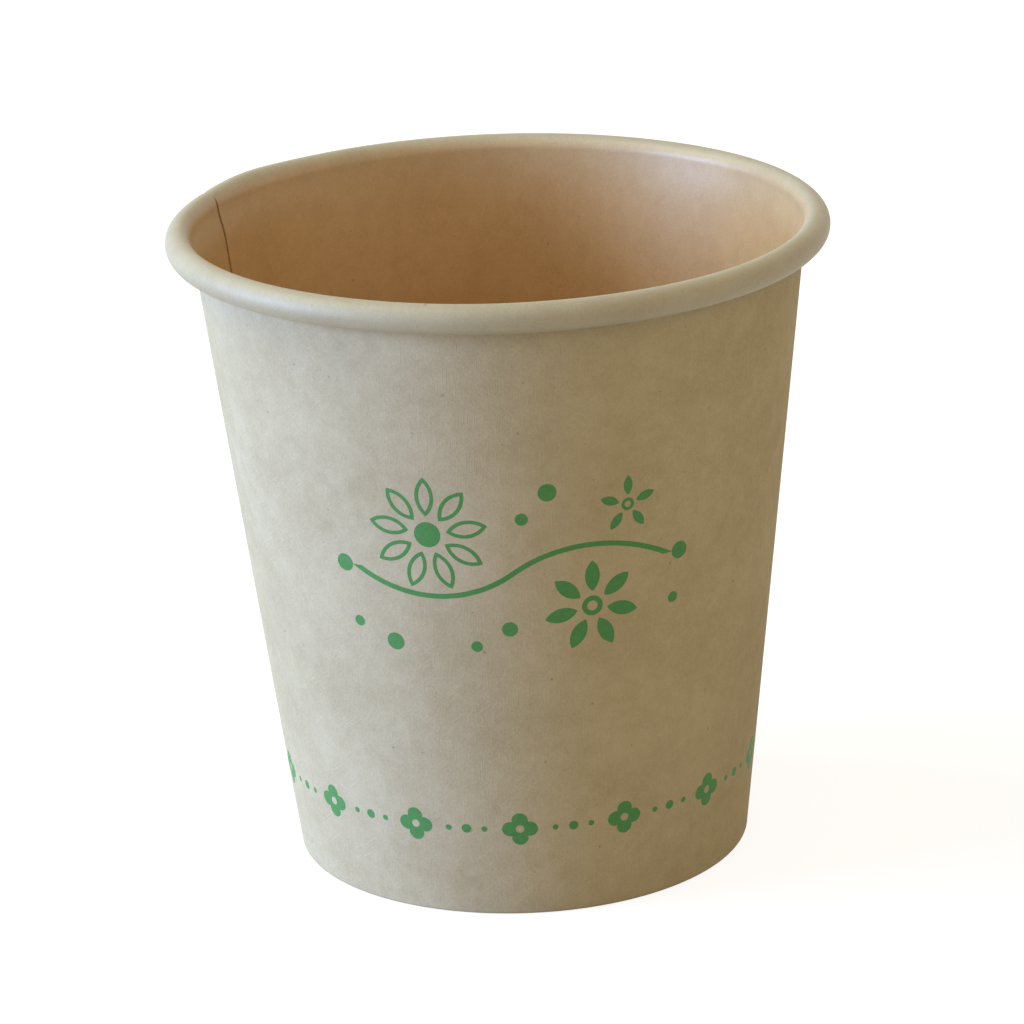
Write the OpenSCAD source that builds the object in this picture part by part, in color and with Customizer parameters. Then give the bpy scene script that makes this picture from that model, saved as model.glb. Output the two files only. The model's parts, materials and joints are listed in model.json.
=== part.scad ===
// A disposable hot-drink cup of bamboo-fibre paper, 10 cl, with a rolled rim.
// The side wall is one coated board blank, lapped and sealed down one side.
// Its top edge is rolled outwards. Its foot is folded in round the skirt of a recessed base.
// A point of the wall is given by its height and its depth, measured square to the wall
// from the bare outer face towards the axis: board from 0 to wall_t, film on to ply_t.

/* [Cup] */
// Outer diameter of the rolled rim
rim_d = 62; // [58:0.5:68]
// Outer diameter of the wall, carried down to the table
foot_d = 43.1; // [40:0.1:46]
// Height from the table to the top of the rim
cup_h = 61.4; // [55:0.1:75]

/* [Board and film] */
// Thickness of the wall's board
wall_t = 0.32; // [0.26:0.01:0.36]
// Thickness of the base's board
base_t = 0.28; // [0.22:0.01:0.36]
// Thickness of the waterproof film on each board's coated face
film_t = 0.04; // [0.02:0.01:0.06]
// Clearance between sealed faces of the wall, the base and the ink
seal_gap = 0.01; // [0.005:0.005:0.02]

/* [Rim] */
// Outer diameter of the roll's section
roll_d = 2.7; // [2.5:0.1:3.2]
// Clearance of the tucked edge from the doubled wall behind it
tuck_gap = 0.05; // [0.02:0.01:0.08]
// Turn of the tucked edge after the roll has come round under the rim, in degrees
tuck_turn = 135; // [90:5:160]

/* [Side seam] */
// Azimuth of the blank's inner raw edge, anticlockwise from +X, in degrees
seam_az = 158; // [150:1:170]
// Width of the lap, measured at the rim
lap_w = 7.8; // [5:0.2:10]
// Width over which the outer layer climbs over the inner raw edge, at the rim
climb_w = 1.35; // [1:0.05:2]

/* [Foot] */
// Height of the folded edge inside the foot
fold_h = 5.4; // [4:0.1:6]
// Radius of the foot's two outer corners
foot_corner_r = 0.3; // [0.2:0.01:0.34]
// Radius of the crease on the coated side of the fold
crease_r = 0.05; // [0.02:0.01:0.08]

/* [Base] */
// Height of the cup's floor above the table
floor_z = 7; // [6.6:0.1:10]
// Outer radius of the bend between the disc and its skirt
base_bend_r = 0.6; // [0.5:0.05:0.9]
// Clearance between the skirt's lower edge and the bottom of the fold
skirt_gap = 0.1; // [0.05:0.05:0.3]

/* [Front print] */
// Thickness of the ink
ink_t = 0.03; // [0.02:0.01:0.05]
// Width of a drawn line
line_w = 0.5; // [0.3:0.05:0.7]
// Width of the print, seen from the front
print_w = 32; // [28:0.5:36]
// Height of the print
print_h = 19; // [16:0.5:22]
// Height of the print's lower edge above the table
print_z = 25.5; // [20:0.5:30]
// Diameter of the largest flower
flower_d = 11.2; // [9:0.2:12]
// Diameter of the largest berry
berry_d = 1.7; // [1:0.1:2.2]

/* [Lower band] */
// Height of the band's middle line above the table
band_z = 9; // [7:0.5:14]
// Diameter of a small blossom in the band
blossom_d = 3.3; // [2.4:0.1:4]
// Number of blossoms round the cup
blossom_count = 14; // [8:1:18]
// Diameter of the middle dot between two blossoms
dot_d = 0.9; // [0.5:0.05:1.2]

/* [Hidden] */
$fn = 96;

// Steps of each quarter of the roll, and of a small corner
roll_steps = 12;
corner_steps = 6;
// Terraces of the climb at the seam
climb_steps = 6;

ply_t = wall_t + film_t;
rim_r = rim_d / 2;
foot_r = foot_d / 2;
roll_r = roll_d / 2;

// The roll's middle in section, and the radius of its bare inner face
roll_c = [rim_r - roll_r, cup_h - roll_r];
bare_roll_r = roll_r - ply_t;
// The wall's lean from upright: its bare face meets the foot and is tangent to the roll
to_roll = roll_c - [foot_r, 0];
lean = atan2(to_roll.x, to_roll.y) - asin(bare_roll_r / norm(to_roll));
along_wall = [sin(lean), cos(lean)];

// The tucked edge curls tighter, so that it clears the two layers of wall at the seam
tuck_bare_r = bare_roll_r - ply_t - tuck_gap - ply_t;
tuck_c = roll_c - (bare_roll_r - tuck_bare_r) * along_wall;

// Where the wall passes into its fold at the foot
fold_z = 2 * ply_t;
// Slot in the fold that takes the base's skirt, and the fold's full thickness
slot_w = base_t + film_t + 2 * seal_gap;
foot_t = 2 * ply_t + slot_w;

// The seam's angles, rounded so that neighbouring sectors meet in the same plane
function rounded_turn(width, count) = count * round(width / rim_r * 18000 / PI / count) / 100;
lap_turn = rounded_turn(lap_w, 1);
climb_turn = rounded_turn(climb_w, climb_steps);
terrace_turn = climb_turn / climb_steps;

// The middle of the front print's height
print_mid_z = print_z + print_h / 2;
// Each flower's place, across the print's width and up its height from its middle, its
// diameter as a share of the largest, its number of petals, and whether they are filled
flower_shares = [
    [-0.235, 0.2, 1, 9, false],
    [0.22, -0.2, 0.8, 7, true],
    [0.33, 0.3, 0.5, 5, true],
];
// Each berry's place in the same way, and its diameter as a share of the largest
berry_shares = [
    [-0.473, 0, 1],
    [-0.44, -0.3, 0.62],
    [-0.34, -0.38, 1],
    [-0.11, -0.38, 0.62],
    [-0.015, -0.29, 0.85],
    [0.03, 0.28, 0.7],
    [0.105, 0.41, 1],
    [0.45, -0.24, 0.62],
    [0.473, 0, 1],
];
// The vine's two arcs: half of each one's span, and its rise
vine_half_share = 0.22;
vine_rise_share = 0.12;
// A flower's eye and the start of its petals as shares of its radius
eye_share = 0.22;
petal_start_share = 0.32;
// A petal's width as a share of its length, and its outline as a share of a drawn line
petal_width_share = 0.46;
petal_line_share = 0.7;
// A small blossom's round lobes and its open eye, as shares of its radius
lobe_place_share = 0.55;
lobe_share = 0.45;
blossom_eye_share = 0.24;
// The two side dots as a share of the middle one, and their place as a share of the pitch
side_dot_share = 0.62;
side_dot_place_share = 0.17;

function reversed(points) = [for (i = [len(points) - 1:-1:0]) points[i]];

function arc(centre, r, from, to, steps) = [
    for (i = [0:steps])
        let (a = from + (to - from) * i / steps)
            centre + r * [cos(a), sin(a)]
];

// Radius of the wall's face at a height and a depth
function wall_r(z, depth) = foot_r + z * tan(lean) - depth / cos(lean);

// The foot's fold at a depth, from the top of its inner leg down and round to the wall
function fold_path(depth) =
    let (
        r = max(foot_corner_r - depth, crease_r),
        z = depth + r,
        inner = foot_t - depth
    )
    concat(
        [[wall_r(fold_h, inner), fold_h]],
        arc([wall_r(z, inner - r), z], r, -180 - lean, -90, corner_steps),
        arc([wall_r(z, depth + r), z], r, -90, -lean, corner_steps)
    );

// A path without its first point, to follow one that ends there
function rest(points) = [for (i = [1:len(points) - 1]) points[i]];

// The foot's fold at a depth, and the short upright above it
function foot_path(depth) = concat(fold_path(depth), [[wall_r(fold_z, depth), fold_z]]);

// The wall at a depth, from the fold up and over the top of the roll to its outermost line
function rise_path(depth) = concat(
    [[wall_r(fold_z, depth), fold_z]],
    arc(roll_c, bare_roll_r + depth, 180 - lean, 90, roll_steps),
    rest(arc(roll_c, bare_roll_r + depth, 90, 0, roll_steps))
);

// The roll's underside and the tucked edge at a depth, from the roll's outermost line
function tuck_path(depth) = concat(
    arc(roll_c, bare_roll_r + depth, 0, -90 - lean, roll_steps),
    rest(arc(tuck_c, tuck_bare_r + depth, -90 - lean, -90 - lean - tuck_turn, roll_steps))
);

function whole_path(depth) = concat(fold_path(depth), rise_path(depth), rest(tuck_path(depth)));

// The strip between two paths
module strip(outer, inner) {
    polygon(concat(outer, reversed(inner)));
}

// One layer of the whole blank, between two depths. Where the wall climbs at the seam,
// only the foot and the roll's underside go on.
module layer_round(outer, inner) {
    rotate_extrude(start = climb_turn, angle = 360 - climb_turn)
        strip(whole_path(outer), whole_path(inner));
    rotate_extrude(angle = climb_turn) {
        strip(foot_path(outer), foot_path(inner));
        strip(tuck_path(outer), tuck_path(inner));
    }
}

// The stretch of one layer that climbs from the wall on to the seam's inner layer, in terraces.
// The lift of its inner face may lag by a terrace, so that the thin film joins up too.
module layer_climb(outer, inner, lag) {
    terrace = ply_t / climb_steps;
    for (i = [1:climb_steps])
        rotate_extrude(start = terrace_turn * (climb_steps - i), angle = terrace_turn)
            strip(rise_path(outer - i * terrace), rise_path(inner - (i - lag) * terrace));
}

// The second thickness of one layer, outside the lap
module layer_lap(outer, inner) {
    rotate_extrude(start = -lap_turn, angle = lap_turn)
        strip(rise_path(outer - ply_t), rise_path(inner - ply_t));
}

module side_wall() {
    color("#cbc3ac")
        rotate([0, 0, seam_az]) {
            layer_round(0, wall_t);
            layer_climb(0, wall_t, 0);
            layer_lap(0, wall_t);
        }
}

module wall_lining() {
    color("#e3dcc6")
        rotate([0, 0, seam_az]) {
            layer_round(wall_t, ply_t);
            layer_climb(wall_t, ply_t, 1);
            layer_lap(wall_t, ply_t);
        }
}

// The base's face at a depth below its coated face, from the axis out and down its skirt
function base_path(depth) =
    let (
        r = base_bend_r - depth,
        centre_z = floor_z - base_bend_r,
        wall_depth = ply_t + seal_gap,
        centre = [wall_r(centre_z, wall_depth + base_bend_r), centre_z],
        end_z = ply_t + skirt_gap
    )
    concat(
        [[0, floor_z - depth]],
        arc(centre, r, 90, -lean, 2 * corner_steps),
        [[wall_r(end_z, wall_depth + depth), end_z]]
    );

module base_disc() {
    color("#c9bea4")
        rotate_extrude()
            strip(base_path(film_t), base_path(film_t + base_t));
}

module base_lining() {
    color("#e0d8c0")
        rotate_extrude()
            strip(base_path(0), base_path(film_t));
}

// The thin shell of ink round the wall's bare face, from which the prints are cut
module ink_shell(from_z, to_z) {
    rotate_extrude()
        polygon([
            [wall_r(from_z, -seal_gap), from_z],
            [wall_r(from_z, -seal_gap - ink_t), from_z],
            [wall_r(to_z, -seal_gap - ink_t), to_z],
            [wall_r(to_z, -seal_gap), to_z],
        ]);
}

// A flat drawing, x to the right and y up, printed square on to the wall at an azimuth and height
module printed_at(azimuth, z, reach) {
    rotate([0, 0, azimuth + 90])
        translate([0, -wall_r(z, 0) + reach, z])
            rotate([90, 0, 0])
                linear_extrude(2 * reach)
                    children();
}

// A pointed petal along x, made of two arcs, and drawn inside its outline by an inset
module petal(length, width, inset) {
    r = (length * length + width * width) / (4 * width);
    intersection_for (side = [-1, 1])
        translate([length / 2, side * (r - width / 2)])
            circle(r - inset);
}

module flower(d, petals, filled) {
    start = petal_start_share * d / 2;
    length = d / 2 - start;
    width = petal_width_share * length;
    difference() {
        circle(eye_share * d / 2);
        if (filled)
            circle(eye_share * d / 4);
    }
    for (i = [0:petals - 1])
        rotate(90 + 360 * i / petals)
            translate([start, 0])
                difference() {
                    petal(length, width, 0);
                    if (!filled)
                        petal(length, width, petal_line_share * line_w);
                }
}

// One arc of the vine, above its chord on the right and below it on the left
module vine_arc(side) {
    half = vine_half_share * print_w;
    rise = vine_rise_share * print_h;
    r = (half * half + rise * rise) / (2 * rise);
    intersection() {
        translate([side * half, side * (rise - r)])
            difference() {
                circle(r + line_w / 2);
                circle(r - line_w / 2);
            }
        translate([-print_w, side > 0 ? 0 : -print_h])
            square([2 * print_w, print_h]);
    }
}

// A drawing of the front print, at its place across and up as shares from the middle
module on_front(across_share, up_share, reach) {
    z = print_mid_z + up_share * print_h;
    azimuth = asin(across_share * print_w / wall_r(z, 0)) - 90;
    printed_at(azimuth, z, reach)
        children();
}

module flower_print() {
    color("#4f9a55")
        intersection() {
            ink_shell(print_z - flower_d / 2, print_z + print_h + flower_d / 2);
            union() {
                for (f = flower_shares)
                    on_front(f[0], f[1], flower_d / 4)
                        flower(f[2] * flower_d, f[3], f[4]);
                for (b = berry_shares)
                    on_front(b[0], b[1], berry_d)
                        circle(b[2] * berry_d / 2);
                on_front(0, 0, print_w / 4) {
                    vine_arc(-1);
                    vine_arc(1);
                }
            }
        }
}

// A small blossom of four round lobes with an open eye
module blossom(d) {
    difference() {
        union() {
            for (i = [0:3])
                rotate(90 * i)
                    translate([lobe_place_share * d / 2, 0])
                        circle(lobe_share * d / 2);
            circle(lobe_place_share * d / 2);
        }
        circle(blossom_eye_share * d / 2);
    }
}

module band_print() {
    // The band keeps clear of the lap, and its blossoms share out the rest of the turn
    margin = (blossom_d / 2 + climb_w) / wall_r(band_z, 0) * 180 / PI;
    start = seam_az + climb_turn + margin;
    pitch = (360 - lap_turn - climb_turn - 2 * margin) / (blossom_count - 1);
    color("#4f9a55")
        intersection() {
            ink_shell(band_z - blossom_d, band_z + blossom_d);
            union() {
                for (i = [0:blossom_count - 1])
                    printed_at(start + i * pitch, band_z, blossom_d / 2)
                        blossom(blossom_d);
                for (i = [0:blossom_count - 2], side = [-1:1])
                    printed_at(start + (i + 1 / 2 + side * side_dot_place_share) * pitch, band_z, dot_d)
                        circle((side == 0 ? 1 : side_dot_share) * dot_d / 2);
            }
        }
}

side_wall();
wall_lining();
base_disc();
base_lining();
flower_print();
band_print();
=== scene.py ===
"""A disposable cup of bamboo-fibre paper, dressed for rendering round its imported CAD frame."""

import json
import math

import bmesh
import bpy
from bpy.props import FloatProperty, FloatVectorProperty, PointerProperty
from mathutils import Matrix, Vector

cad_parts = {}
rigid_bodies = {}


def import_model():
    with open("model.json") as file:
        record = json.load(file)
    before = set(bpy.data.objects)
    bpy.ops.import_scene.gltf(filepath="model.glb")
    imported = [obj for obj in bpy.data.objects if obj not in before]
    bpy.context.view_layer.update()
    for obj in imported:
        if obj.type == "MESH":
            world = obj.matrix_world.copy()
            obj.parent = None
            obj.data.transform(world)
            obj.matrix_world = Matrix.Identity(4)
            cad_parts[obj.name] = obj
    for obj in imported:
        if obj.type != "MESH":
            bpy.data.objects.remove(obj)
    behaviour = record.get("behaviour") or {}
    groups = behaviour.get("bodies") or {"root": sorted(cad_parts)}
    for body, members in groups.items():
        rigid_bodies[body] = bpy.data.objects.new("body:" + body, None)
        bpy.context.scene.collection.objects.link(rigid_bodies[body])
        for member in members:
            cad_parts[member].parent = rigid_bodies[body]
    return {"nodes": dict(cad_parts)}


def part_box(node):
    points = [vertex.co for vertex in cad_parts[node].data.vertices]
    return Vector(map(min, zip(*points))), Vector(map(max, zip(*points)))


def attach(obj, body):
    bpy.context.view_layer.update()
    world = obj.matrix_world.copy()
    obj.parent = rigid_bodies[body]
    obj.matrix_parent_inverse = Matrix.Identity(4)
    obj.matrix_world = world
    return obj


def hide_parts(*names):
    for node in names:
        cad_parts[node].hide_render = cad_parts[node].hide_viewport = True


bl_info = {
    "name": "Bamboo Paper Cup",
    "version": (1, 0, 0),
    "blender": (4, 5, 0),
    "location": "3D View > Sidebar > Paper Cup",
    "description": "Builds a rolled-rim cup from a conical blank, a recessed base and a print",
    "category": "Add Mesh",
}

for leftover in list(bpy.data.objects):
    bpy.data.objects.remove(leftover)
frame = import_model()

MM = 0.001
WALL_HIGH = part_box("side_wall")[1]
DISC_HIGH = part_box("base_lining")[1]

# Quads along each part of the blank's section, from the fold's inner edge to the tucked edge
SECTION_ROWS = (
    ("leg", 8),
    ("inner_corner", 6),
    ("flat", 2),
    ("outer_corner", 6),
    ("rise", 2),
    ("wall", 30),
    ("over", 24),
    ("under", 14),
    ("tuck", 14),
)
# Quads round the lap, the plain wall and the climb
LAP_COLUMNS = 12
ROUND_COLUMNS = 276
CLIMB_COLUMNS = 14
# Powers by which the wall's rows crowd towards the rim, and the climb's columns towards the flap
WALL_CROWDING = 1.7
CLIMB_CROWDING = 2
# Quads along each part of the base's section, and round the base
BASE_ROWS = (("disc", 24), ("bend", 10), ("skirt", 4))
BASE_COLUMNS = 180

# Waves of the rim: how many go round, and each one's share and phase
RIM_WAVES = ((2, 0.5, 0.8), (3, 0.3, 2.1), (7, 0.2, 4.0))
# The waver of the roll's thickness, as a share of the rim's waver
ROLL_WAVER = 0.3
# Share of the height at which the wall starts to follow the rim's waver
WAVER_FROM = 0.8

# Half the thickness of a print's solids, which tells their lower faces from their upper ones
HALF_PRINT = 0.015 * MM
# Thickness of the ink's sheet, as a share of how far it stands on the board
SHEET_SHARE = 0.75
# Longest edge left in a print, and the most passes that shorten its edges
PRINT_EDGE = 0.5 * MM
PRINT_PASSES = 6

# Sizes of the pulp's blots, from the broadest to the finest
CLOUD = 9 * MM
MOTTLE = 1.6 * MM
GRAIN = 0.22 * MM
# Fibres in the board: the angle that they lie at, in degrees, their length and their width
FIBRES = ((20, 3.4 * MM, 0.13 * MM), (98, 2.2 * MM, 0.11 * MM), (152, 2.8 * MM, 0.12 * MM))
# Dark bits in the board: the cell that holds one, its radius and the share of cells with one
BITS = ((3.2 * MM, 0.11 * MM, 0.14), (7 * MM, 0.17 * MM, 0.16))

# Each lamp: its power's setting, direction, distance, width and colour
LAMPS = {
    "window": ("key_power", (-0.96, -0.17, 0.21), 1.2, 0.55, (0.42, 0.62, 1.0)),
    "skylight": ("sky_power", (-0.61, 0.11, 0.79), 1.2, 0.55, (0.9, 1.0, 0.82)),
    "room": ("fill_power", (0.8, -0.5, 0.35), 0.7, 0.5, (1.0, 0.94, 0.52)),
}
# The floor's radius, and how far it lies below the foot so that the two don't share a plane
FLOOR_R = 6
FLOOR_DROP = 0.05 * MM
# The floor's colour where it lights the cup and where it is seen, and the glow that whitens it
FLOOR_LIT = (0.42, 0.38, 0.32)
FLOOR_SEEN = (0.34, 0.34, 0.34)
FLOOR_GLOW = 0.86
# Colour of the even light from all round
AMBIENT_COLOUR = (1.0, 0.79, 0.49)
# Width of the camera's sensor, in millimetres
SENSOR_WIDTH = 36

# Names of the blank's flat sheet, and of the share that marks the film's stretch over the roll and
# where the roll is painted paler as lit
UV_NAME = "blank"
STRETCH_AND_LIGHT_NAME = "stretch"
# Edges that turn by more than this are sharp
SHARP_ANGLE = math.radians(40)


class CupSizes(bpy.types.PropertyGroup):
    """The sizes that a user would change."""

    rim_d: FloatProperty(
        name="Rim diameter", description="Outer diameter of the rolled rim",
        default=62 * MM, min=0.02, unit="LENGTH", subtype="DISTANCE",
    )
    height: FloatProperty(
        name="Height", description="From the table to the top of the rim",
        default=WALL_HIGH.z, min=0.02, unit="LENGTH", subtype="DISTANCE",
    )
    foot_d: FloatProperty(
        name="Foot diameter", description="Outer diameter of the wall, carried down to the table",
        default=43.1 * MM, min=0.01, unit="LENGTH", subtype="DISTANCE",
    )
    roll_d: FloatProperty(
        name="Roll diameter", description="Outer diameter of the roll's section",
        default=2.7 * MM, min=0.001, unit="LENGTH", subtype="DISTANCE",
    )
    wall_t: FloatProperty(
        name="Wall board", description="Thickness of the wall's board",
        default=0.32 * MM, min=0.0001, unit="LENGTH", subtype="DISTANCE",
    )
    base_t: FloatProperty(
        name="Base board", description="Thickness of the base's board",
        default=0.28 * MM, min=0.0001, unit="LENGTH", subtype="DISTANCE",
    )
    film_t: FloatProperty(
        name="Film", description="Thickness of the waterproof film on a coated face",
        default=0.04 * MM, min=0.00001, unit="LENGTH", subtype="DISTANCE",
    )
    seal_gap: FloatProperty(
        name="Seal", description="Clearance between sealed faces",
        default=0.01 * MM, min=0.0, unit="LENGTH", subtype="DISTANCE",
    )
    floor_z: FloatProperty(
        name="Floor height", description="Height of the cup's floor above the table",
        default=DISC_HIGH.z, min=0.001, unit="LENGTH", subtype="DISTANCE",
    )
    fold_h: FloatProperty(
        name="Fold height", description="Height of the folded edge inside the foot",
        default=5.4 * MM, min=0.001, unit="LENGTH", subtype="DISTANCE",
    )
    seam_azimuth: FloatProperty(
        name="Seam", description="Azimuth of the blank's inner raw edge, anticlockwise from +X",
        default=math.radians(158), unit="ROTATION", subtype="ANGLE",
    )
    lap_turn: FloatProperty(
        name="Lap", description="Turn of the lap at the side seam",
        default=math.radians(14.42), min=0.01, unit="ROTATION", subtype="ANGLE",
    )
    climb_turn: FloatProperty(
        name="Climb", description="Turn over which the outer layer climbs on to the inner one",
        default=math.radians(2.52), min=0.005, unit="ROTATION", subtype="ANGLE",
    )
    seam_bulge: FloatProperty(
        name="Seam bulge", description="How far the doubled board swells the roll at the seam",
        default=0.25 * MM, min=0.0, unit="LENGTH", subtype="DISTANCE",
    )
    rim_waver: FloatProperty(
        name="Rim waver", description="How far the hand of the rolling tool lets the rim waver",
        default=0.035 * MM, min=0.0, unit="LENGTH", subtype="DISTANCE",
    )
    roll_uneven: FloatProperty(
        name="Uneven roll", description="How much tighter the roll is on its right side",
        default=0.1 * MM, min=0.0, unit="LENGTH", subtype="DISTANCE",
    )
    roll_flat: FloatProperty(
        name="Flat roll", description="Narrowing of the roll's inner half at left and right",
        default=0.22, min=0.0, max=0.4,
    )
    rim_off: FloatProperty(
        name="Rim off centre", description="How far the rim's middle is left of the foot's",
        default=0.4 * MM, min=0.0, unit="LENGTH", subtype="DISTANCE",
    )
    rim_narrow: FloatProperty(
        name="Narrow rim", description="Share of its width by which the rim is out of round",
        default=0.0045, min=0.0, max=0.02,
    )
    ink_t: FloatProperty(
        name="Ink", description="How far the dry ink stands on the board",
        default=0.008 * MM, min=0.001 * MM, unit="LENGTH", subtype="DISTANCE",
    )


class CupColours(bpy.types.PropertyGroup):
    """The colours that a user would change, as linear RGB."""

    board: FloatVectorProperty(
        name="Board", description="Bare bamboo board, where it is pale",
        default=(0.67, 0.59, 0.44), min=0, max=1, size=3, subtype="COLOR",
    )
    board_dark: FloatVectorProperty(
        name="Board, dark", description="Bare bamboo board, where its pulp is dense",
        default=(0.53, 0.44, 0.30), min=0, max=1, size=3, subtype="COLOR",
    )
    film: FloatVectorProperty(
        name="Film", description="Coated board, where it is pale",
        default=(0.615, 0.40, 0.19), min=0, max=1, size=3, subtype="COLOR",
    )
    film_dark: FloatVectorProperty(
        name="Film, dark", description="Coated board, where its pulp is dense",
        default=(0.51, 0.306, 0.13), min=0, max=1, size=3, subtype="COLOR",
    )
    # Both rolled tones are greyer and paler than the film. This is partly the stretched film's own
    # tone and partly painted light where the roll's top catches the light.
    rolled: FloatVectorProperty(
        name="Rolled film", description="Film stretched over the roll, where it is pale",
        default=(0.475, 0.42, 0.295), min=0, max=1, size=3, subtype="COLOR",
    )
    rolled_dark: FloatVectorProperty(
        name="Rolled film, dark", description="Film stretched over the roll, over dense pulp",
        default=(0.39, 0.325, 0.22), min=0, max=1, size=3, subtype="COLOR",
    )
    raw_edge: FloatVectorProperty(
        name="Raw edge", description="Cut edge of the board",
        default=(0.36, 0.25, 0.14), min=0, max=1, size=3, subtype="COLOR",
    )
    speck: FloatVectorProperty(
        name="Speck", description="Dark bits of bark in the pulp",
        default=(0.16, 0.11, 0.06), min=0, max=1, size=3, subtype="COLOR",
    )
    ink: FloatVectorProperty(
        name="Ink", description="Green ink",
        default=(0.062, 0.255, 0.072), min=0, max=1, size=3, subtype="COLOR",
    )
    ink_thin: FloatVectorProperty(
        name="Ink, thin", description="Green ink where the board soaked it up",
        default=(0.105, 0.325, 0.112), min=0, max=1, size=3, subtype="COLOR",
    )


def mix(a, b, t):
    """From a at t 0 to b at t 1."""
    return a + (b - a) * t


def soft_step(t):
    """0 to 1, level at both ends."""
    t = min(max(t, 0.0), 1.0)
    return t * t * (3 - 2 * t)


def crowded(quads, power=1):
    """Shares from 0 to just short of 1, crowding towards 1 where the power is above 1."""
    return [1 - (1 - i / quads) ** power for i in range(quads)]


def on_arc(centre, radius, angle):
    """The point of an arc, as (radius from the axis, height)."""
    return Vector((centre.x + radius * math.cos(angle), centre.y + radius * math.sin(angle)))


class Section:
    """The blank's section: a point for each part, share along it and depth from the bare face."""

    CORNER_R = 0.3 * MM
    CREASE_R = 0.05 * MM
    TUCK_GAP = 0.05 * MM
    TUCK_TURN = math.radians(135)
    BASE_BEND_R = 0.6 * MM
    SKIRT_GAP = 0.1 * MM
    # The sealing iron thins the flap towards its raw edge, over a turn and down to a share
    PRESS_TURN = math.radians(2.4)
    EDGE_LEFT = 0.62
    # The share left where the step is pressed out, and how far that undoes the thinning
    PRESSED_EDGE_LEFT = 0.25
    THINNING_UNDONE = 0.6
    # How much of the seam's step the rolling tool presses out, and how fast along the roll
    STEP_PRESSED = 0.8
    PRESS_RATE = 2.2
    # Shares of the climb's width left in the wall and on the roll, and how fast it narrows
    WALL_CLIMB_LEFT = 0.6
    ROLL_CLIMB_LEFT = 0.22
    NARROW_RATE = 2.5
    # How far the film is stretched at the wall's top, where in the wall that starts, and how fast
    # it grows along the wall and along the roll; the same share also paints the roll's top paler,
    # as painted light
    RIM_STRETCH_AND_LIGHT = 0.3
    STRETCH_AND_LIGHT_FROM = 0.9
    WALL_STRETCH_AND_LIGHT_RATE = 9
    ROLL_STRETCH_AND_LIGHT_RATE = 2.8
    # Where the roll swells most, from its outermost line, and how narrow the swelling is
    SWELL_ANGLE = math.radians(40)
    SWELL_NARROW = 0.8
    # Height over which the wall flares to meet the flattened roll
    FLARE_H = 2.6 * MM
    # How much more the roll is flattened at the left, and less at the right
    FLATTER_LEFT = 0.4

    def __init__(self, sizes):
        self.sizes = sizes
        self.ply = sizes.wall_t + sizes.film_t
        self.foot_r = sizes.foot_d / 2
        self.roll_r = sizes.roll_d / 2
        self.bare_roll_r = self.roll_r - self.ply
        self.roll_mid = Vector((sizes.rim_d / 2 - self.roll_r, sizes.height - self.roll_r))
        to_roll = self.roll_mid - Vector((self.foot_r, 0))
        self.lean = math.atan2(to_roll.x, to_roll.y)
        self.lean -= math.asin(self.bare_roll_r / to_roll.length)
        self.tuck_bare_r = self.bare_roll_r - 2 * self.ply - self.TUCK_GAP
        along = Vector((math.sin(self.lean), math.cos(self.lean)))
        self.tuck_mid = self.roll_mid - (self.bare_roll_r - self.tuck_bare_r) * along
        self.foot_t = 2 * self.ply + sizes.base_t + sizes.film_t + 2 * sizes.seal_gap
        self.rise_z = 2 * self.ply

    def wall_r(self, z, depth):
        """Radius of the wall's face at a height and a depth."""
        return self.foot_r + z * math.tan(self.lean) - depth / math.cos(self.lean)

    def wall_point(self, z, depth):
        """Point of the wall's face at a height and a depth."""
        return Vector((self.wall_r(z, depth), z))

    def corner(self, depth, inner):
        """Centre and radius of a foot corner at a depth."""
        radius = max(self.CORNER_R - depth, self.CREASE_R)
        z = depth + radius
        across = self.foot_t - depth - radius if inner else depth + radius
        return self.wall_point(z, across), radius

    def roll_angle(self, part, t):
        """Angle of a point of the roll, from its outermost line."""
        if part == "over":
            return mix(math.pi - self.lean, 0, t)
        if part == "under":
            return mix(0, -math.pi / 2 - self.lean, t)
        return mix(-math.pi / 2 - self.lean, -math.pi / 2 - self.lean - self.TUCK_TURN, t)

    def point(self, part, t, depth, swell=0.0):
        """The section's point, with the roll swollen by a length."""
        if part in ("over", "under"):
            radius = self.bare_roll_r + depth + swell
            return on_arc(self.roll_mid, radius, self.roll_angle(part, t))
        if part == "tuck":
            return on_arc(self.tuck_mid, self.tuck_bare_r + depth, self.roll_angle(part, t))
        if part in ("wall", "rise"):
            start = self.wall_point(self.rise_z, depth)
            if part == "wall":
                return mix(start, self.point("over", 0, depth), t)
            return mix(self.point("outer_corner", 1, depth), start, t)
        if part == "flat":
            inner_end = self.point("inner_corner", 1, depth)
            return mix(inner_end, self.point("outer_corner", 0, depth), t)
        if part == "leg":
            top = self.wall_point(self.sizes.fold_h, self.foot_t - depth)
            return mix(top, self.point("inner_corner", 0, depth), t)
        centre, radius = self.corner(depth, part == "inner_corner")
        if part == "inner_corner":
            return on_arc(centre, radius, mix(-math.pi - self.lean, -math.pi / 2, t))
        return on_arc(centre, radius, mix(-math.pi / 2, -self.lean, t))

    def flattened_r(self, r, z, azimuth):
        """A point's radius once the roll's inner side is pressed flatter at left and right."""
        inwards = max(0.0, self.roll_mid.x - r)
        across = math.cos(azimuth)
        share = self.sizes.roll_flat * across ** 4 * (1 - self.FLATTER_LEFT * across)
        return r + inwards * share * soft_step((z - self.roll_mid.y) / self.FLARE_H + 1)

    def climb_share(self, part, t):
        """How much of the seam's climb a point of the section takes part in."""
        if part in ("rise", "wall", "over"):
            return 1.0
        if part == "outer_corner":
            return soft_step(t)
        if part == "under":
            # The climb is gone two thirds of the way under the roll
            return 1 - soft_step(1.5 * t)
        return 0.0

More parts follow.
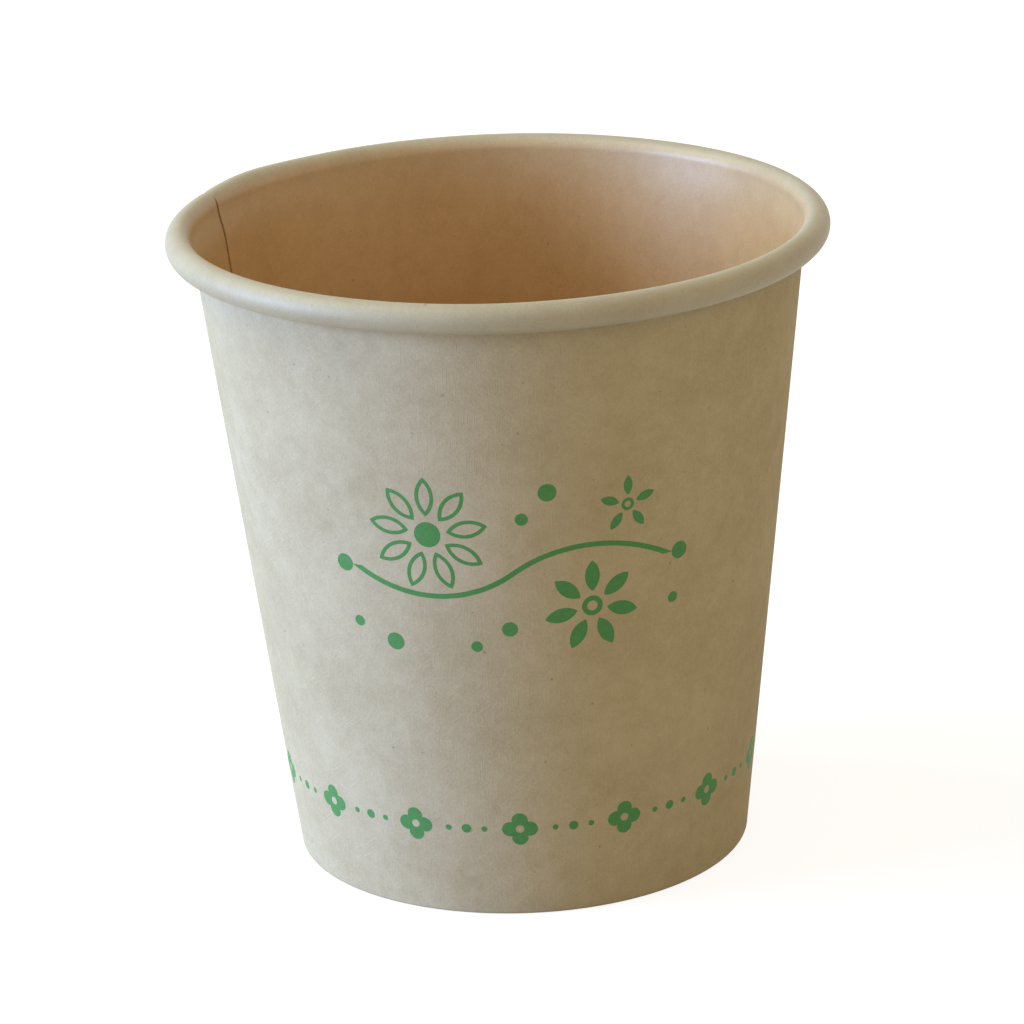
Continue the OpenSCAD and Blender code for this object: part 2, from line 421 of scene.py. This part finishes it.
    def climb_narrowing(self, part, t):
        """The share of the climb's width that is left, since rolling the rim presses it shut."""
        if part == "over":
            return mix(self.WALL_CLIMB_LEFT, self.ROLL_CLIMB_LEFT, soft_step(self.NARROW_RATE * t))
        return self.ROLL_CLIMB_LEFT if part in ("under", "tuck") else self.WALL_CLIMB_LEFT

    def pressed_share(self, part, t):
        """How far the rolling tool presses the seam's step out of the roll: 0 in the wall."""
        if part == "over":
            return self.STEP_PRESSED * soft_step(self.PRESS_RATE * t)
        return self.STEP_PRESSED if part in ("under", "tuck") else 0.0

    def stretch_and_light_share(self, part, t):
        """How far the film is stretched, and painted paler as lit: not at all low in the wall,
        wholly outside on the roll.
        """
        if part == "wall":
            return self.RIM_STRETCH_AND_LIGHT * soft_step(self.WALL_STRETCH_AND_LIGHT_RATE * (t - self.STRETCH_AND_LIGHT_FROM))
        if part == "over":
            return mix(self.RIM_STRETCH_AND_LIGHT, 1, soft_step(self.ROLL_STRETCH_AND_LIGHT_RATE * (t - 0.03)))
        return 1.0 if part in ("under", "tuck") else 0.0

    def swell_share(self, part, t):
        """How much of a swelling of the roll a point of the section takes part in."""
        if part not in ("over", "under"):
            return 0.0
        off = self.roll_angle(part, t) - self.SWELL_ANGLE
        return max(0.0, math.cos(off * self.SWELL_NARROW)) ** 2

    def base_point(self, part, t, depth):
        """A point of the base's disc, bend or skirt, at a depth below the coated face."""
        radius = self.BASE_BEND_R - depth
        middle_z = self.sizes.floor_z - self.BASE_BEND_R
        wall_depth = self.ply + self.sizes.seal_gap
        centre = self.wall_point(middle_z, wall_depth + self.BASE_BEND_R)
        if part == "disc":
            middle = Vector((0, self.sizes.floor_z - depth))
            return mix(middle, on_arc(centre, radius, math.pi / 2), t)
        if part == "bend":
            return on_arc(centre, radius, mix(math.pi / 2, -self.lean, t))
        end = self.wall_point(self.ply + self.SKIRT_GAP, wall_depth + depth)
        return mix(on_arc(centre, radius, -self.lean), end, t)


def grid_rows(section_parts):
    """Each row of a section's grid, as its part and its share along the part."""
    rows = []
    for part, quads in section_parts:
        power = WALL_CROWDING if part == "wall" else 1
        rows += [(part, share) for share in crowded(quads, power)]
    return rows + [(section_parts[-1][0], 1.0)]


def first_row(part):
    """The row at which a part of the blank's section starts."""
    names = [name for name, _ in SECTION_ROWS]
    return sum(quads for _, quads in SECTION_ROWS[: names.index(part)])


def blank_turns(sizes):
    """Each column's turn from the inner raw edge: lap, round, climb and the lap again."""
    lap, climb, whole = sizes.lap_turn, sizes.climb_turn, 2 * math.pi
    stretches = (
        (0, lap, crowded(LAP_COLUMNS)),
        (lap, whole - climb, crowded(ROUND_COLUMNS)),
        (whole - climb, whole, crowded(CLIMB_COLUMNS, CLIMB_CROWDING)),
        (whole, whole + lap, crowded(LAP_COLUMNS)),
    )
    turns = [mix(start, end, share) for start, end, shares in stretches for share in shares]
    return turns + [whole + lap]


def rim_wave(azimuth):
    """A slow, uneven wave round the rim, from about -1 to 1."""
    return sum(share * math.sin(count * azimuth + phase) for count, share, phase in RIM_WAVES)


def seam_swell(sizes, azimuth):
    """How far the roll swells where the board is doubled in it."""
    middle = sizes.seam_azimuth - sizes.lap_turn
    off = math.remainder(azimuth - middle, 2 * math.pi) / sizes.lap_turn
    return sizes.seam_bulge * math.exp(-off * off * 2)


def seam_depth(section, turn, part, t, depth):
    """A depth in the blank, with the climb on to the flap and the flap's pressed raw edge."""
    past_edge = turn - 2 * math.pi
    pressed = section.pressed_share(part, t)
    climb_width = section.sizes.climb_turn * section.climb_narrowing(part, t)
    shown = soft_step(1 + past_edge / climb_width) * (1 - pressed)
    hidden = soft_step(past_edge / section.PRESS_TURN) * pressed
    depth -= section.ply * (shown + hidden) * section.climb_share(part, t)
    if part in ("wall", "over") and turn < section.PRESS_TURN:
        thinned = 1 - mix(section.EDGE_LEFT, section.PRESSED_EDGE_LEFT, pressed)
        thinned *= 1 - section.THINNING_UNDONE * pressed
        depth *= 1 - thinned * (1 - soft_step(turn / section.PRESS_TURN))
    return depth


def bend_blank(bm, sizes, near_depth, far_depth):
    """Bends a flat slab of the blank, in grid units, into the cup's wall between two depths."""
    section = Section(sizes)
    rows = grid_rows(SECTION_ROWS)
    turns = blank_turns(sizes)
    layer = bm.loops.layers.uv.new(UV_NAME)
    stretch = bm.verts.layers.float.new(STRETCH_AND_LIGHT_NAME)
    flat = {}
    for v in bm.verts:
        turn = turns[round(v.co.x)]
        part, t = rows[round(v.co.y)]
        # The slab's near face is at 0 and its far face at -1
        depth = near_depth if v.co.z > -0.5 else far_depth
        depth = seam_depth(section, turn, part, t, depth)
        v[stretch] = section.stretch_and_light_share(part, t)
        azimuth = sizes.seam_azimuth - turn
        swell = seam_swell(sizes, azimuth)
        swell += ROLL_WAVER * sizes.rim_waver * rim_wave(azimuth + 1)
        swell -= sizes.roll_uneven * math.cos(azimuth)
        swell *= section.swell_share(part, t)
        r, z = section.point(part, t, depth, swell)
        if part in ("wall", "over", "under", "tuck"):
            r = section.flattened_r(r, z, azimuth)
            follow = soft_step((z / sizes.height - WAVER_FROM) / (1 - WAVER_FROM))
            z += sizes.rim_waver * rim_wave(azimuth) * follow
        # The blank's own flat sheet: the unrolled cone
        along = section.wall_point(z, 0).x / math.sin(section.lean)
        spread = turn * math.sin(section.lean)
        flat[v] = (along * math.cos(spread), along * math.sin(spread))
        v.co = (r * math.cos(azimuth), r * math.sin(azimuth), max(z, 0))
    for face in bm.faces:
        for loop in face.loops:
            loop[layer].uv = flat[loop.vert]


def blank_slab():
    """A flat slab of the blank, one unit a quad, without what would lie twice in the seam."""
    bm = bmesh.new()
    columns = 2 * LAP_COLUMNS + ROUND_COLUMNS + CLIMB_COLUMNS
    rows = sum(quads for _, quads in SECTION_ROWS)
    bmesh.ops.create_grid(bm, x_segments=columns, y_segments=rows, size=0.5)
    bmesh.ops.translate(bm, vec=(0.5, 0.5, 0), verts=bm.verts)
    bmesh.ops.scale(bm, vec=(columns, rows, 1), verts=bm.verts)
    twice = []
    for face in bm.faces:
        middle = face.calc_center_median()
        in_flap = middle.x < LAP_COLUMNS and middle.y < first_row("wall")
        in_second = middle.x > columns - LAP_COLUMNS and middle.y > first_row("under")
        if in_flap or in_second:
            twice.append(face)
    bmesh.ops.delete(bm, geom=twice, context="FACES")
    bmesh.ops.solidify(bm, geom=bm.faces[:], thickness=1)
    for face in bm.faces:
        heights = {round(v.co.z) for v in face.verts}
        face.material_index = 1 if len(heights) == 2 else 0
    return bm


def settle(bm, sizes):
    """Lets the true shape go as slightly off centre and out of round as the real cup is."""
    for v in bm.verts:
        share = v.co.z / sizes.height
        v.co.x *= 1 - sizes.rim_narrow * share
        v.co.x -= sizes.rim_off * share


def add_piece(bm, name, materials, replaces):
    """Makes a piece of the object from a bmesh, riding on the cup's one body."""
    settle(bm, bpy.context.scene.cup_sizes)
    bmesh.ops.recalc_face_normals(bm, faces=bm.faces)
    mesh = bpy.data.meshes.new(name)
    bm.to_mesh(mesh)
    bm.free()
    for material in materials:
        mesh.materials.append(material)
    mesh.shade_smooth()
    mesh.set_sharp_from_angle(angle=SHARP_ANGLE)
    piece = bpy.data.objects.new(name, mesh)
    bpy.context.scene.collection.objects.link(piece)
    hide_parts(replaces)
    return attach(piece, "root")


class Bench:
    """Adds and joins the nodes of one material."""

    def __init__(self, name):
        self.material = bpy.data.materials.new(name)
        self.material.use_nodes = True
        self.tree = self.material.node_tree
        self.shader = self.tree.nodes["Principled BSDF"]
        self.place = self.tree.nodes.new("ShaderNodeTexCoord").outputs["Object"]

    def node(self, kind, inputs, **settings):
        """A new node, whose inputs are given by name or number, as values or as sockets."""
        made = self.tree.nodes.new(kind)
        for key, value in settings.items():
            setattr(made, key, value)
        for key, value in inputs.items():
            self.join(value, made.inputs[key])
        return made

    def join(self, value, socket):
        """Links a socket to another, or sets its value."""
        if isinstance(value, bpy.types.NodeSocket):
            self.tree.links.new(value, socket)
        else:
            socket.default_value = value

    def math(self, operation, a, b=0.0, c=0.0, clamp=False):
        """The result of an operation on up to three values or sockets."""
        inputs = {0: a, 1: b, 2: c}
        made = self.node("ShaderNodeMath", inputs, operation=operation, use_clamp=clamp)
        return made.outputs[0]

    def total(self, parts, offset=0.0, clamp=False):
        """The sum of an offset and of sockets, each given with its weight."""
        whole = offset
        for number, (socket, weight) in enumerate(parts, 1):
            last = number == len(parts)
            whole = self.math("MULTIPLY_ADD", socket, weight, whole, clamp=clamp and last)
        return whole

    def noise(self, size, detail=2.0, roughness=0.5):
        """Cloudy noise whose blots are about the given size, in metres."""
        inputs = {
            "Vector": self.place,
            "Scale": 1 / size,
            "Detail": detail,
            "Roughness": roughness,
        }
        return self.node("ShaderNodeTexNoise", inputs).outputs["Fac"]

    def blend(self, share, a, b):
        """From colour a to colour b."""
        made = self.node("ShaderNodeMixRGB", {"Fac": share, "Color1": a, "Color2": b})
        return made.outputs["Color"]


def rgba(colour):
    """An opaque colour."""
    return (*colour, 1.0)


def fibres(bench, turn_deg, length, width):
    """Fine fibres that lie at an angle in the board's flat sheet."""
    sheet = bench.node("ShaderNodeUVMap", {}, uv_map=UV_NAME).outputs["UV"]
    turned = bench.node(
        "ShaderNodeMapping", {"Vector": sheet, "Rotation": (0, 0, math.radians(turn_deg))}
    )
    drawn_out = bench.node(
        "ShaderNodeMapping", {"Vector": turned.outputs[0], "Scale": (1 / length, 1 / width, 1)}
    )
    streaks = bench.node(
        "ShaderNodeTexNoise",
        {"Vector": drawn_out.outputs[0], "Scale": 1.0, "Detail": 1.5, "Distortion": 0.35},
        noise_dimensions="2D",
    )
    thin = bench.node(
        "ShaderNodeMapRange",
        {"Value": streaks.outputs["Fac"], "From Min": 0.60, "From Max": 0.72},
        interpolation_type="SMOOTHSTEP",
    )
    return thin.outputs["Result"]


def specks(bench, cell, reach, share):
    """Sparse round bits, one in some of the cells of the board's flat sheet."""
    sheet = bench.node("ShaderNodeUVMap", {}, uv_map=UV_NAME).outputs["UV"]
    cells = bench.node(
        "ShaderNodeTexVoronoi",
        {"Vector": sheet, "Scale": 1 / cell, "Randomness": 1.0},
        voronoi_dimensions="2D",
    )
    lot = bench.node("ShaderNodeSeparateColor", {"Color": cells.outputs["Color"]}).outputs["Red"]
    edge = reach / cell
    near = bench.node(
        "ShaderNodeMapRange",
        {"Value": cells.outputs["Distance"], "From Min": edge, "From Max": 0.4 * edge},
    )
    drawn = bench.math("LESS_THAN", lot, share)
    return bench.math("MULTIPLY", near.outputs["Result"], drawn)


def blots(bench):
    """The pulp's mottle and its grain."""
    mottle = bench.noise(MOTTLE, detail=3.0, roughness=0.6)
    grain = bench.noise(GRAIN, detail=2.0, roughness=0.6)
    return mottle, grain


def pulp(bench, pale, dense, speck):
    """The board's look under any finish: its colour, and its height for the bump."""
    cloud = bench.noise(CLOUD)
    mottle, grain = blots(bench)
    strands = bench.total([(fibres(bench, *kind), 1) for kind in FIBRES])
    parts = [(cloud, 1.2), (mottle, 1.1), (grain, 1.2), (strands, 0.18)]
    colour = bench.blend(bench.total(parts, -1.2, clamp=True), dense, pale)
    bits = bench.total([(specks(bench, *kind), 0.45) for kind in BITS])
    height = bench.total([(mottle, 1.5), (grain, 1), (strands, 0.35)])
    return bench.blend(bits, colour, speck), height


def rough_up(bench, height, reach):
    """Bumps the surface by a height that reaches so far, in metres."""
    bump = bench.node("ShaderNodeBump", {"Height": height, "Distance": reach, "Strength": 1.0})
    bench.join(bump.outputs["Normal"], bench.shader.inputs["Normal"])


def board_material(colours):
    """Bare bamboo board: matt, mottled, with fine fibres and a few dark bits."""
    bench = Bench("bare_board")
    pale, dense = rgba(colours.board), rgba(colours.board_dark)
    colour, height = pulp(bench, pale, dense, rgba(colours.speck))
    bench.join(colour, bench.shader.inputs["Base Color"])
    bench.shader.inputs["Roughness"].default_value = 0.88
    bench.shader.inputs["Specular IOR Level"].default_value = 0.3
    rough_up(bench, height, 0.02 * MM)
    return bench.material


def film_material(colours):
    """Board under its waterproof film: warmer, smoother and with a satin shine."""
    bench = Bench("filmed_board")
    stretch = bench.node("ShaderNodeAttribute", {}, attribute_name=STRETCH_AND_LIGHT_NAME).outputs["Fac"]
    # Towards the roll the film turns to the rolled tone. This is partly the stretched film's own
    # tone and partly painted light on the roll's top.
    pale = bench.blend(stretch, rgba(colours.film), rgba(colours.rolled))
    dense = bench.blend(stretch, rgba(colours.film_dark), rgba(colours.rolled_dark))
    colour, height = pulp(bench, pale, dense, rgba(colours.speck))
    bench.join(colour, bench.shader.inputs["Base Color"])
    roughness = bench.total([(bench.noise(0.6 * MM), 0.16), (stretch, 0.2)], 0.32)
    bench.join(roughness, bench.shader.inputs["Roughness"])
    bench.shader.inputs["Specular IOR Level"].default_value = 0.9
    bench.shader.inputs["Coat Weight"].default_value = 0.5
    bench.shader.inputs["Coat Roughness"].default_value = 0.6
    rough_up(bench, height, 0.008 * MM)
    return bench.material


def edge_material(colours):
    """The board's cut edge: torn fibre in thin plies."""
    bench = Bench("cut_board")
    tear = bench.noise(0.12 * MM, detail=3.0, roughness=0.7)
    colour = bench.blend(tear, rgba(colours.raw_edge), rgba(colours.board_dark))
    bench.join(colour, bench.shader.inputs["Base Color"])
    bench.shader.inputs["Roughness"].default_value = 0.95
    rough_up(bench, tear, 0.03 * MM)
    return bench.material


def ink_material(colours):
    """Green ink, half soaked into the board, so that the pulp's grain shows in it."""
    bench = Bench("soaked_ink")
    mottle, grain = blots(bench)
    thin = bench.total([(grain, 1.4), (mottle, 0.8)], -0.7, clamp=True)
    colour = bench.blend(thin, rgba(colours.ink), rgba(colours.ink_thin))
    bench.join(colour, bench.shader.inputs["Base Color"])
    bench.shader.inputs["Roughness"].default_value = 0.62
    bench.shader.inputs["Specular IOR Level"].default_value = 0.4
    rough_up(bench, bench.total([(mottle, 1.5), (grain, 1)]), 0.014 * MM)
    return bench.material


def material(name, make):
    """The named material, made once."""
    return bpy.data.materials.get(name) or make(bpy.context.scene.cup_colours)


class CUP_OT_wall(bpy.types.Operator):
    """Bends the blank's board and its film into the wall, rim and foot"""

    bl_idname = "cup.wall"
    bl_label = "Side wall and lining"

    def execute(self, context):
        sizes = context.scene.cup_sizes
        board = material("bare_board", board_material)
        film = material("filmed_board", film_material)
        edge = material("cut_board", edge_material)
        wall = blank_slab()
        bend_blank(wall, sizes, 0, sizes.wall_t)
        add_piece(wall, "side_wall_board", [board, edge], "side_wall")
        lining = blank_slab()
        bend_blank(lining, sizes, sizes.wall_t, sizes.wall_t + sizes.film_t)
        add_piece(lining, "side_wall_film", [film, film], "wall_lining")
        return {"FINISHED"}


def spun_base(sizes, near_depth, far_depth):
    """The base's disc and skirt between two depths, spun from its section."""
    section = Section(sizes)
    rows = grid_rows(BASE_ROWS)
    near = [section.base_point(part, t, near_depth) for part, t in rows]
    far = [section.base_point(part, t, far_depth) for part, t in reversed(rows)]
    bm = bmesh.new()
    ring = [bm.verts.new((r, 0, z)) for r, z in near + far]
    edges = [bm.edges.new(pair) for pair in zip(ring, ring[1:])]
    bmesh.ops.spin(
        bm, geom=ring + edges, cent=(0, 0, 0), axis=(0, 0, 1), angle=2 * math.pi,
        steps=BASE_COLUMNS, use_merge=True,
    )
    bmesh.ops.remove_doubles(bm, verts=bm.verts, dist=0.001 * MM)
    layer = bm.loops.layers.uv.new(UV_NAME)
    for face in bm.faces:
        for loop in face.loops:
            loop[layer].uv = loop.vert.co.xy
    return bm


class CUP_OT_base(bpy.types.Operator):
    """Spins the base's disc with its skirt, and the film on it"""

    bl_idname = "cup.base"
    bl_label = "Base disc and lining"

    def execute(self, context):
        sizes = context.scene.cup_sizes
        board = material("bare_board", board_material)
        film = material("filmed_board", film_material)
        disc = spun_base(sizes, sizes.film_t, sizes.film_t + sizes.base_t)
        add_piece(disc, "base_board", [board], "base_disc")
        lining = spun_base(sizes, 0, sizes.film_t)
        add_piece(lining, "base_film", [film], "base_lining")
        return {"FINISHED"}


def pressed_print(node, sizes):
    """A print as a thin sheet of ink: the outer faces of its solids, pressed on to the board."""
    section = Section(sizes)
    bm = bmesh.new()
    bm.from_mesh(frame["nodes"][node].data)
    bmesh.ops.remove_doubles(bm, verts=bm.verts, dist=0.0005 * MM)
    lower = set()
    for v in bm.verts:
        proud = math.hypot(v.co.x, v.co.y) - section.wall_r(v.co.z, 0)
        if proud * math.cos(section.lean) < sizes.seal_gap + HALF_PRINT:
            lower.add(v)
    unwanted = [face for face in bm.faces if not lower.isdisjoint(face.verts)]
    bmesh.ops.delete(bm, geom=unwanted, context="FACES")
    bm.normal_update()
    inward = [face for face in bm.faces if face.normal.xy.dot(face.calc_center_median().xy) < 0]
    bmesh.ops.reverse_faces(bm, faces=inward)
    for _ in range(PRINT_PASSES):
        long_edges = [edge for edge in bm.edges if edge.calc_length() > PRINT_EDGE]
        if not long_edges:
            break
        bmesh.ops.subdivide_edges(bm, edges=long_edges, cuts=1)
        bmesh.ops.triangulate(bm, faces=[face for face in bm.faces if len(face.verts) > 3])
        bmesh.ops.dissolve_degenerate(bm, edges=bm.edges, dist=0.002 * MM)
    for v in bm.verts:
        pressed = section.wall_r(v.co.z, -sizes.ink_t) / math.hypot(v.co.x, v.co.y)
        v.co.x *= pressed
        v.co.y *= pressed
    bmesh.ops.solidify(bm, geom=bm.faces[:], thickness=SHEET_SHARE * sizes.ink_t)
    return bm


class CUP_OT_prints(bpy.types.Operator):
    """Lays the front print and the lower band on to the wall"""

    bl_idname = "cup.prints"
    bl_label = "Green prints"

    def execute(self, context):
        sizes = context.scene.cup_sizes
        ink = material("soaked_ink", ink_material)
        for node, name in (("flower_print", "front_ink"), ("band_print", "band_ink")):
            add_piece(pressed_print(node, sizes), name, [ink], node)
        return {"FINISHED"}


class StageSizes(bpy.types.PropertyGroup):
    """The camera and the light."""

    distance: FloatProperty(
        name="Camera distance", description="From the cup's middle to the camera",
        default=440.1 * MM, unit="LENGTH", subtype="DISTANCE",
    )
    elevation: FloatProperty(
        name="Elevation", description="Height of the camera above the horizon",
        default=math.radians(19.153), unit="ROTATION", subtype="ANGLE",
    )
    roll: FloatProperty(
        name="Roll", description="Turn of the camera about its own line of sight",
        default=math.radians(-2.144), unit="ROTATION", subtype="ANGLE",
    )
    lens: FloatProperty(
        name="Lens", description="Focal length in millimetres on a 36 mm sensor",
        default=162.96, min=20, max=400,
    )
    aim_right: FloatProperty(
        name="Aim, right", description="How far right of the cup's middle the camera looks",
        default=-0.105 * MM, unit="LENGTH", subtype="DISTANCE",
    )
    aim_up: FloatProperty(
        name="Aim, up", description="How far above the cup's middle the camera looks",
        default=1.27 * MM, unit="LENGTH", subtype="DISTANCE",
    )
    key_power: FloatProperty(
        name="Window light", description="Power of the window at the left, in watts",
        default=19.0, min=0,
    )
    sky_power: FloatProperty(
        name="Skylight", description="Power of the light high behind on the left, in watts",
        default=6.2, min=0,
    )
    fill_power: FloatProperty(
        name="Room light", description="Power of the warm room light at the right, in watts",
        default=0.37, min=0,
    )
    ambient: FloatProperty(
        name="Ambient", description="Strength of the light from all round", default=0.44, min=0,
    )


def aim(thing, place, target):
    """Puts a lamp or a camera at a place, looking at a target."""
    thing.location = place
    thing.rotation_mode = "QUATERNION"
    thing.rotation_quaternion = (target - place).to_track_quat("-Z", "Y")


def add_lamp(name, direction, distance, width, power, colour, target):
    """A square soft lamp that looks at a target from a direction."""
    data = bpy.data.lights.new(name, "AREA")
    data.shape = "SQUARE"
    data.size = width
    data.energy = power
    data.color = colour
    lamp = bpy.data.objects.new(name, data)
    bpy.context.scene.collection.objects.link(lamp)
    aim(lamp, target + Vector(direction).normalized() * distance, target)


def seen_share(tree):
    """1 for what the camera, a reflection or a clear body sees, 0 for what lights the object."""
    path = tree.nodes.new("ShaderNodeLightPath")
    seen = path.outputs["Is Camera Ray"]
    for name in ("Is Glossy Ray", "Is Transmission Ray"):
        either = tree.nodes.new("ShaderNodeMath")
        either.operation = "MAXIMUM"
        tree.links.new(seen, either.inputs[0])
        tree.links.new(path.outputs[name], either.inputs[1])
        seen = either.outputs[0]
    return seen


def floor_material():
    """A pale floor that keeps its shadow, and whose lit part is white to the camera."""
    made = bpy.data.materials.new("pale_floor")
    made.use_nodes = True
    tree = made.node_tree
    tree.nodes.remove(tree.nodes["Principled BSDF"])
    lit = tree.nodes.new("ShaderNodeBsdfDiffuse")
    lit.inputs["Color"].default_value = rgba(FLOOR_LIT)
    shown = tree.nodes.new("ShaderNodeBsdfDiffuse")
    shown.inputs["Color"].default_value = rgba(FLOOR_SEEN)
    glow = tree.nodes.new("ShaderNodeEmission")
    glow.inputs["Strength"].default_value = FLOOR_GLOW
    both = tree.nodes.new("ShaderNodeAddShader")
    tree.links.new(shown.outputs[0], both.inputs[0])
    tree.links.new(glow.outputs[0], both.inputs[1])
    pick = tree.nodes.new("ShaderNodeMixShader")
    tree.links.new(seen_share(tree), pick.inputs["Fac"])
    tree.links.new(lit.outputs[0], pick.inputs[1])
    tree.links.new(both.outputs[0], pick.inputs[2])
    tree.links.new(pick.outputs[0], tree.nodes["Material Output"].inputs["Surface"])
    return made


def add_floor():
    """A broad floor just below the foot."""
    bm = bmesh.new()
    bmesh.ops.create_circle(bm, cap_ends=True, segments=96, radius=FLOOR_R)
    mesh = bpy.data.meshes.new("floor")
    bm.to_mesh(mesh)
    bm.free()
    mesh.materials.append(floor_material())
    floor = bpy.data.objects.new("floor", mesh)
    floor.location.z = -FLOOR_DROP
    bpy.context.scene.collection.objects.link(floor)


def light_world(ambient):
    """Even light from all round, which the camera and reflections see as white."""
    world = bpy.data.worlds.new("studio")
    world.use_nodes = True
    tree = world.node_tree
    even = tree.nodes["Background"]
    even.inputs["Color"].default_value = rgba(AMBIENT_COLOUR)
    even.inputs["Strength"].default_value = ambient
    white = tree.nodes.new("ShaderNodeBackground")
    white.inputs["Color"].default_value = (1, 1, 1, 1)
    white.inputs["Strength"].default_value = 1.0
    pick = tree.nodes.new("ShaderNodeMixShader")
    tree.links.new(seen_share(tree), pick.inputs["Fac"])
    tree.links.new(even.outputs[0], pick.inputs[1])
    tree.links.new(white.outputs[0], pick.inputs[2])
    tree.links.new(pick.outputs[0], tree.nodes["World Output"].inputs["Surface"])
    bpy.context.scene.world = world


def add_camera(stage, middle):
    """The camera at the photograph's angle."""
    back = Vector((0, -math.cos(stage.elevation), math.sin(stage.elevation)))
    up = Vector((0, math.sin(stage.elevation), math.cos(stage.elevation)))
    data = bpy.data.cameras.new("camera")
    data.sensor_width = SENSOR_WIDTH
    data.lens = stage.lens
    data.clip_start = 0.01
    data.clip_end = 20
    camera = bpy.data.objects.new("camera", data)
    bpy.context.scene.collection.objects.link(camera)
    target = middle + Vector((stage.aim_right, 0, 0)) + up * stage.aim_up
    aim(camera, middle + back * stage.distance, target)
    turn = Matrix.Rotation(stage.roll, 3, "Z").to_quaternion()
    camera.rotation_quaternion = camera.rotation_quaternion @ turn
    bpy.context.scene.camera = camera


class CUP_OT_stage(bpy.types.Operator):
    """Sets the floor, the light and the camera"""

    bl_idname = "cup.stage"
    bl_label = "Floor, light and camera"

    def execute(self, context):
        scene = context.scene
        stage = scene.cup_stage
        middle = Vector((0, 0, scene.cup_sizes.height / 2))
        add_floor()
        light_world(stage.ambient)
        for name, (power, direction, distance, width, colour) in LAMPS.items():
            add_lamp(name, direction, distance, width, getattr(stage, power), colour, middle)
        add_camera(stage, middle)
        scene.view_settings.view_transform = "Standard"
        return {"FINISHED"}


class CUP_PT_panel(bpy.types.Panel):
    """Lists the cup's sizes and the steps that build it"""

    bl_idname = "CUP_PT_panel"
    bl_label = "Bamboo Paper Cup"
    bl_space_type = "VIEW_3D"
    bl_region_type = "UI"
    bl_category = "Paper Cup"

    def draw(self, context):
        scene = context.scene
        for group in (scene.cup_sizes, scene.cup_colours, scene.cup_stage):
            box = self.layout.box()
            for name in group.__annotations__:
                box.prop(group, name)
        for operator in OPERATORS:
            self.layout.operator(operator.bl_idname)


OPERATORS = (CUP_OT_wall, CUP_OT_base, CUP_OT_prints, CUP_OT_stage)
GROUPS = {"cup_sizes": CupSizes, "cup_colours": CupColours, "cup_stage": StageSizes}
CLASSES = (*GROUPS.values(), *OPERATORS, CUP_PT_panel)


def register():
    """Adds the classes, and a group of settings to each scene for each kind."""
    for cls in CLASSES:
        bpy.utils.register_class(cls)
    for name, group in GROUPS.items():
        setattr(bpy.types.Scene, name, PointerProperty(type=group))


def unregister():
    """Takes away what register adds."""
    for name in GROUPS:
        delattr(bpy.types.Scene, name)
    for cls in reversed(CLASSES):
        bpy.utils.unregister_class(cls)


def main():
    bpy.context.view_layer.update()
    register()
    bpy.ops.cup.wall()
    bpy.ops.cup.base()
    bpy.ops.cup.prints()
    bpy.ops.cup.stage()


if __name__ == "__main__":
    main()
